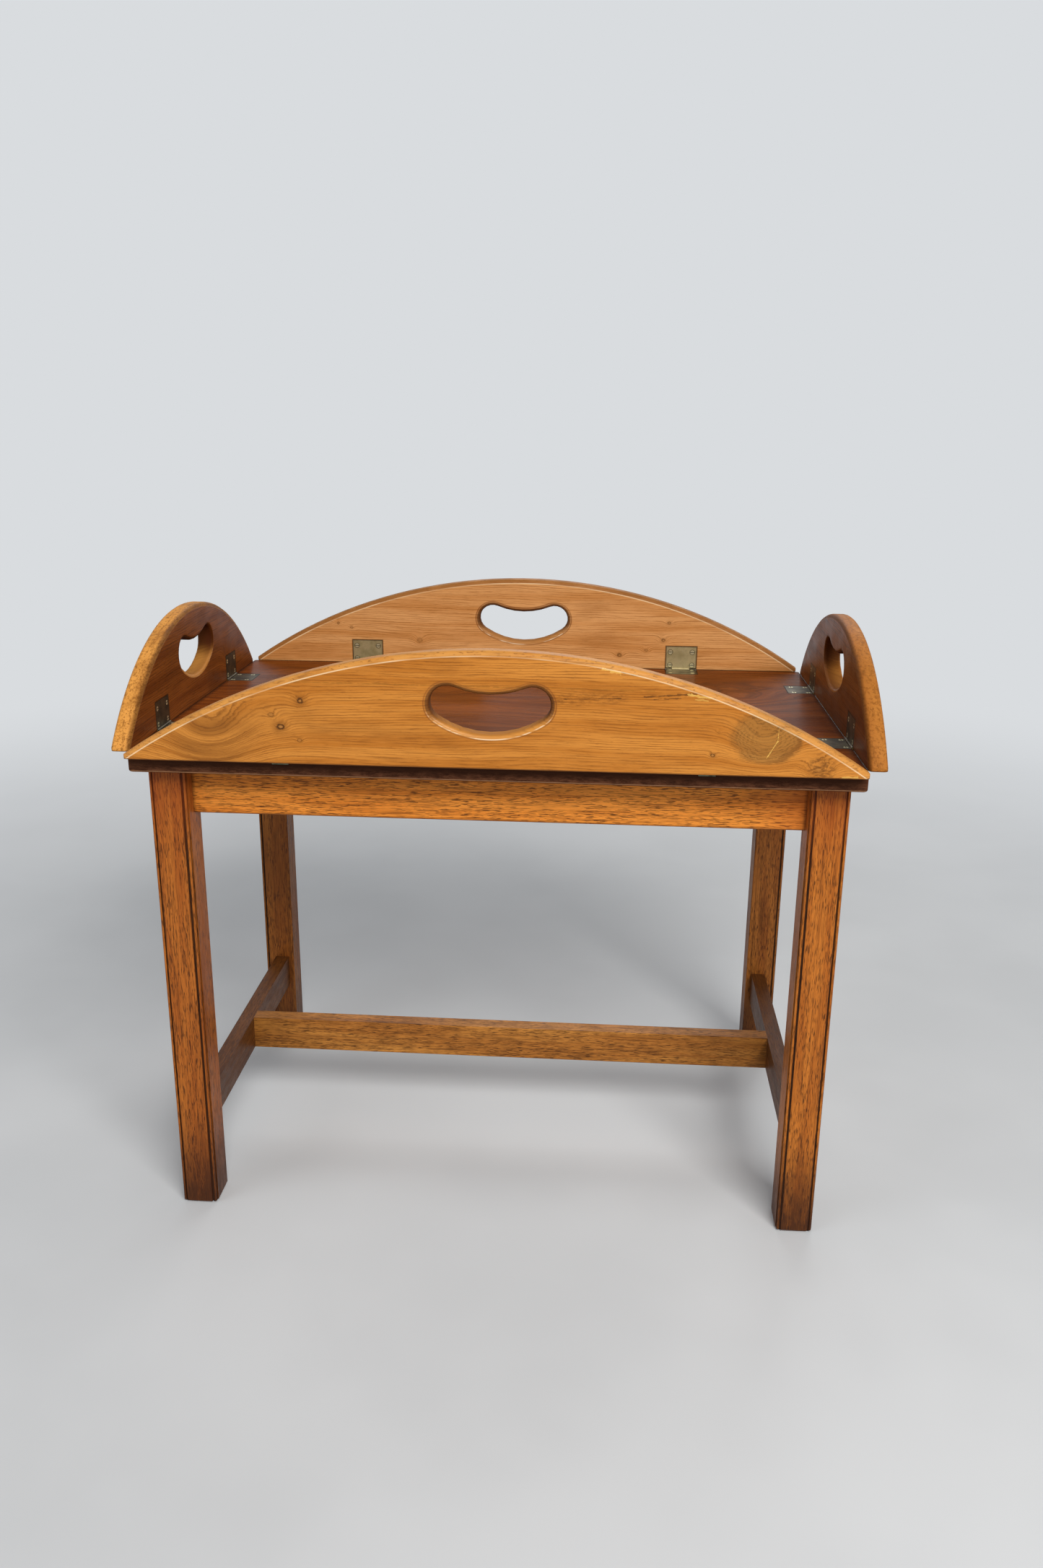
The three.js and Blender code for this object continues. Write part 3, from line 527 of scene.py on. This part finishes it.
def stand_wood(name, run, seed, kind):
    """The stand's plainer wood, with its run along x, y or z."""
    finish = Finish(f"{name}_wood", seed)
    at = along, _, _ = [getattr(finish, axis) for axis in AXES_BY_RUN[run]]
    figure = grain(finish, at, spacing=4.0, warp=12.0)
    colour = wood_colour(finish, figure, STAND_TONES[kind], 0.25, 0.5)
    streaks = finish.noise(at, (80.0, 2.2, 2.2), detail=4.0, roughness=0.6, shift=5.0)
    colour = finish.stain(colour, STAND_TONES[kind][2], streaks.ramp(0.5, 0.72) * 0.55)
    crowd = finish.noise(at, (60.0, 9.0, 9.0), detail=2.0, shift=10.0).ramp(0.25, 0.5)
    pores = finish.noise(at, (9.0, 0.75, 0.75), detail=1.0, shift=9.0).ramp(0.54, 0.62) * crowd
    colour = finish.stain(colour, "30170a", pores * 0.75)
    scuffs = finish.noise(at, (24.0, 8.0, 8.0), detail=4.0, roughness=0.65, shift=6.0)
    if kind.endswith("leg"):
        colour = leg_marks(finish, colour, scuffs)
    if kind == "apron":
        colour = apron_marks(finish, colour, along, {"x": LEG_X, "y": LEG_Y}[run] - LEG_HALF)
    if kind.endswith("stretcher"):
        colour = finish.stain(colour, "4c2a0e", scuffs.ramp(0.42, 0.75) * 0.45)
        # Darker towards both ends: painted shade
        colour = finish.stain(colour, "4c2a0e", abs(along).ramp(190.0, 320.0) * 0.4)
    height = figure["fibre"] * 0.4 - figure["lines"] * 0.3 - pores * 0.6 + scuffs * 0.3
    finish.bump(height, 0.18)
    return finish.done(colour, scuffs.ramp(0.3, 0.7, 0.36, 0.48), specular_ior_level=0.15)


# Metal

# A leaf's brass from light to dark and its fine tarnish; the back flap's are rubbed bright
RUBBED_BRASS = ("c0b084", "9c8c62", "4b4226")
DULL_BRASS = ("51462f", "332b1c", "2a2215")


def brass_leaf(name, on_flap, seed):
    side = SIDES[name]
    finish = Finish(f"{name}_{'flap' if on_flap else 'board'}_leaf_brass", seed)
    along = abs(abs(getattr(finish, side["along"])) - side["hinge"])
    if on_flap:
        row = finish.z - HINGE_EDGE
    else:
        row = side["edge"] - abs(getattr(finish, side["out"]))
    from_row = abs(row - SCREW_ROW_MIDDLE) - SCREW_ROW_REACH
    at = (finish.x, finish.y, finish.z)
    tarnish = finish.noise(at, (14.0, 14.0, 14.0), detail=3.0, roughness=0.55, shift=1.0)
    fine = finish.noise(at, (1.4, 1.4, 1.4), detail=3.0, shift=2.0)
    light, dark, specks = RUBBED_BRASS if name == "back" and on_flap else DULL_BRASS
    colour = finish.mix(paint(light), paint(dark), tarnish.ramp(0.35, 0.68))
    colour = finish.stain(colour, specks, fine.ramp(0.58, 0.8) * 0.4)
    rim = (along - LEAF_HALF).most(row - LEAF_LENGTH).ramp(-1.2, -0.1)
    colour = finish.stain(colour, "3b3320", rim * 0.5)
    screw = (along - SCREW_ALONG).hypot(from_row)
    colour = finish.stain(colour, "2c2415", screw.near(SCREW_RADIUS + 0.2, 0.6) * 0.85)
    head = screw.ramp(SCREW_RADIUS - 0.1, SCREW_RADIUS - 0.4)
    colour = finish.stain(colour, "d2cba4", head * fine.ramp(0.3, 0.5, 0.65, 0.95))
    # Painted shade in the screw slots
    slot = abs(from_row).ramp(0.5, 0.35) * head
    colour = finish.stain(colour, "231c10", slot * 0.9)
    finish.bump(tarnish * 0.4 + fine * 0.6, 0.1)
    roughness = tarnish.ramp(0.3, 0.7, 0.4, 0.52) - head * 0.08
    return finish.done(colour, roughness, metallic=0.8)


def plain_metal(name, light, dark, roughness, seed):
    finish = Finish(name, seed)
    at = (finish.x, finish.y, finish.z)
    tarnish = finish.noise(at, (6.0, 6.0, 6.0), detail=4.0, roughness=0.6, shift=1.0)
    fine = finish.noise(at, (0.8, 0.8, 0.8), detail=2.0, shift=2.0)
    colour = finish.mix(paint(light), paint(dark), tarnish.ramp(0.35, 0.7))
    colour = finish.stain(colour, dark, fine.ramp(0.5, 0.8) * 0.5)
    finish.bump(fine, 0.1)
    return finish.done(colour, tarnish.ramp(0.3, 0.7, roughness, roughness + 0.12), metallic=1.0)


# Smooth shading across the roundings, with the true edges kept sharp

SHARP_FROM_DEGREES = 38.0
WELD_DISTANCE = 1e-5


def smoothing():
    group = bpy.data.node_groups.new("smooth_roundings", "GeometryNodeTree")
    for way in ("INPUT", "OUTPUT"):
        group.interface.new_socket("Geometry", in_out=way, socket_type="NodeSocketGeometry")
    nodes, links = group.nodes, group.links
    source = nodes.new("NodeGroupInput")
    merge = nodes.new("GeometryNodeMergeByDistance")
    merge.inputs["Distance"].default_value = WELD_DISTANCE
    forget = nodes.new("GeometryNodeRemoveAttribute")
    forget.inputs["Name"].default_value = "custom_normal"
    faces, edges = [nodes.new("GeometryNodeSetShadeSmooth") for _ in range(2)]
    for shading, domain, smooth in ((faces, "FACE", True), (edges, "EDGE", False)):
        shading.domain = domain
        shading.inputs["Shade Smooth"].default_value = smooth
    angle = nodes.new("GeometryNodeInputMeshEdgeAngle")
    sharp = nodes.new("ShaderNodeMath")
    sharp.operation = "GREATER_THAN"
    sharp.inputs[1].default_value = math.radians(SHARP_FROM_DEGREES)
    target = nodes.new("NodeGroupOutput")
    links.new(angle.outputs[0], sharp.inputs[0])
    links.new(sharp.outputs[0], edges.inputs["Selection"])
    chain = (source, merge, forget, faces, edges, target)
    for before, after in zip(chain, chain[1:]):
        links.new(before.outputs[0], after.inputs[0])
    return group


def dress(node, material):
    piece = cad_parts[node]
    for slot in piece.material_slots:
        slot.material = material
    piece.modifiers.new("smooth_roundings", "NODES").node_group = smooth_group
    weighted = piece.modifiers.new("flat_faces", "WEIGHTED_NORMAL")
    weighted.mode, weighted.weight, weighted.keep_sharp = "FACE_AREA", 100, True


smooth_group = smoothing()

for seed, name in enumerate(SIDES, FLAP_SEED):
    dress(f"{name}_flap", flap_wood(name, float(seed)))
    flap_leaf = brass_leaf(name, True, FLAP_LEAF_SEED + seed)
    board_leaf = brass_leaf(name, False, BOARD_LEAF_SEED + seed)
    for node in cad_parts:
        if node.startswith(f"{name}_") and node.endswith("_hinge_flap_leaf"):
            dress(node, flap_leaf)
        elif node.startswith(f"{name}_") and node.endswith("_hinge_board_leaf"):
            dress(node, board_leaf)

dress("tray_board", board_wood())

METALS = {
    "_pin": plain_metal("pin_brass", "c2b076", "7d6c3c", roughness=0.35, seed=41.0),
    "_screw_": plain_metal("screw_brass", "bda768", "6f5f35", roughness=0.4, seed=42.0),
    "_spring": plain_metal("spring_steel", "6a6c58", "43453a", roughness=0.5, seed=43.0),
}
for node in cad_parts:
    for part, metal in METALS.items():
        if part in node:
            dress(node, metal)

# The stand's pieces, and the tray's cleats of the same make: the axis of their run, and their tones
STAND = [
    ("front_left_leg", "z", "left_leg"), ("front_right_leg", "z", "right_leg"),
    ("back_left_leg", "z", "rear_leg"), ("back_right_leg", "z", "rear_leg"),
    ("front_apron", "x", "apron"), ("back_apron", "x", "apron"),
    ("left_apron", "y", "apron"), ("right_apron", "y", "apron"),
    ("left_stretcher", "y", "side_stretcher"), ("right_stretcher", "y", "side_stretcher"),
    ("middle_stretcher", "x", "stretcher"), ("left_cleat", "y", "cleat"), ("right_cleat", "y", "cleat"),
]
for seed, (node, run, kind) in enumerate(STAND, STAND_SEED):
    dress(node, stand_wood(node, run, float(seed), kind))


# Floor, light and camera

BACKGROUND = "d9dcdf"
SEEN_BY = ("Is Camera Ray", "Is Glossy Ray", "Is Transmission Ray")

# Half the floor's side in metres, and where it fades to the background, in millimetres
FLOOR_HALF = 30.0
FADE_FROM, FADE_TO = 650.0, 2600.0
FLOOR_TONES = ("cdd0d3", "c6c9cc")
FLOOR_ROUGHNESS = 0.6

WORLD_LIGHT, WORLD_STRENGTH = "f2f3f5", 0.3

# Each lamp: its place, its two sides in metres, its power in watts, and its colour
LAMPS_AIM = (0.0, 0.0, 0.45)
LAMPS = {
    "key": ((0.9, -2.2, 2.3), (1.6, 1.2), 88.0, (1.0, 0.97, 0.93)),
    "fill": ((-2.2, -1.6, 1.4), (1.6, 1.6), 14.0, (0.96, 0.98, 1.0)),
    "rim": ((0.4, 2.4, 2.2), (2.0, 1.0), 20.0, (1.0, 0.99, 0.97)),
}

# The camera: its place in metres, its turns in degrees, and its focal length in pixels of the
# photograph's height
EYE = (0.10169, -1.33811, 0.84848)
YAW, PITCH, ROLL = -3.746, 17.261, -0.505
FOCAL_PIXELS, PHOTO_PIXELS = 1702.6, 2173.0
SENSOR_WIDTH = 36.0
CLIP_FROM, CLIP_TO = 0.05, 50.0


def seen_directly(finish):
    """One for a ray from the camera, a mirror or a glass, none for light on its way."""
    path = finish.node("ShaderNodeLightPath")
    rays = [Field(finish, path.outputs[name]) for name in SEEN_BY]
    return rays[0].most(rays[1]).most(rays[2])


def floor():
    mesh = bpy.data.meshes.new("floor")
    corners = [(x * FLOOR_HALF, y * FLOOR_HALF, 0) for x, y in ((-1, -1), (1, -1), (1, 1), (-1, 1))]
    mesh.from_pydata(corners, [], [(0, 1, 2, 3)])
    ground = bpy.data.objects.new("floor", mesh)
    bpy.context.scene.collection.objects.link(ground)
    finish = Finish("pale_floor", FLOOR_SEED)
    at = (finish.x, finish.y, finish.z)
    cloud = finish.noise(at, (300.0, 300.0, 300.0), detail=3.0)
    colour = finish.mix(*[paint(tone) for tone in FLOOR_TONES], cloud.ramp(0.3, 0.7))
    mesh.materials.append(finish.done(colour, FLOOR_ROUGHNESS))
    fade = finish.x.hypot(finish.y).ramp(FADE_FROM, FADE_TO)
    far = finish.node("ShaderNodeEmission")
    far.inputs["Color"].default_value = paint(BACKGROUND)
    blend = finish.node("ShaderNodeMixShader")
    finish.feed(blend.inputs[0], fade * seen_directly(finish))
    links = finish.tree.links
    links.new(finish.shader.outputs[0], blend.inputs[1])
    links.new(far.outputs[0], blend.inputs[2])
    links.new(blend.outputs[0], finish.tree.nodes["Material Output"].inputs["Surface"])


def lamp(name, place, size, power, colour):
    light = bpy.data.lights.new(name, "AREA")
    light.shape = "RECTANGLE"
    light.size, light.size_y = size
    light.energy = power
    light.color = colour
    holder = bpy.data.objects.new(name, light)
    holder.location = place
    holder.rotation_euler = (Vector(LAMPS_AIM) - Vector(place)).to_track_quat("-Z", "Y").to_euler()
    bpy.context.scene.collection.objects.link(holder)


def surroundings():
    world = bpy.data.worlds.new("studio")
    bpy.context.scene.world = world
    world.use_nodes = True
    nodes, links = world.node_tree.nodes, world.node_tree.links
    nodes.clear()
    output = nodes.new("ShaderNodeOutputWorld")
    seen, lit = [nodes.new("ShaderNodeBackground") for _ in range(2)]
    for light, tone, strength in ((seen, BACKGROUND, 1.0), (lit, WORLD_LIGHT, WORLD_STRENGTH)):
        light.inputs["Color"].default_value = paint(tone)
        light.inputs["Strength"].default_value = strength
    path = nodes.new("ShaderNodeLightPath")
    ray = path.outputs[SEEN_BY[0]]
    for name in SEEN_BY[1:]:
        either = nodes.new("ShaderNodeMath")
        either.operation = "MAXIMUM"
        links.new(ray, either.inputs[0])
        links.new(path.outputs[name], either.inputs[1])
        ray = either.outputs[0]
    choose = nodes.new("ShaderNodeMixShader")
    links.new(ray, choose.inputs[0])
    links.new(lit.outputs[0], choose.inputs[1])
    links.new(seen.outputs[0], choose.inputs[2])
    links.new(choose.outputs[0], output.inputs[0])


def camera():
    yaw, pitch, roll = [math.radians(turn) for turn in (YAW, PITCH, ROLL)]
    ahead = Vector((math.sin(yaw) * math.cos(pitch), math.cos(yaw) * math.cos(pitch), -math.sin(pitch)))
    level_right = Vector((math.cos(yaw), -math.sin(yaw), 0.0))
    level_down = ahead.cross(level_right)
    right = level_right * math.cos(roll) + level_down * math.sin(roll)
    down = level_down * math.cos(roll) - level_right * math.sin(roll)
    data = bpy.data.cameras.new("camera")
    data.sensor_width = SENSOR_WIDTH
    data.lens = FOCAL_PIXELS * data.sensor_width / PHOTO_PIXELS
    data.clip_start, data.clip_end = CLIP_FROM, CLIP_TO
    holder = bpy.data.objects.new("camera", data)
    turn = Matrix((right, -down, -ahead)).transposed()
    holder.matrix_world = Matrix.Translation(EYE) @ turn.to_4x4()
    bpy.context.scene.collection.objects.link(holder)
    bpy.context.scene.camera = holder


floor()
surroundings()
for name, (place, size, power, colour) in LAMPS.items():
    lamp(name, place, size, power, colour)
camera()
bpy.context.scene.view_settings.view_transform = "Standard"
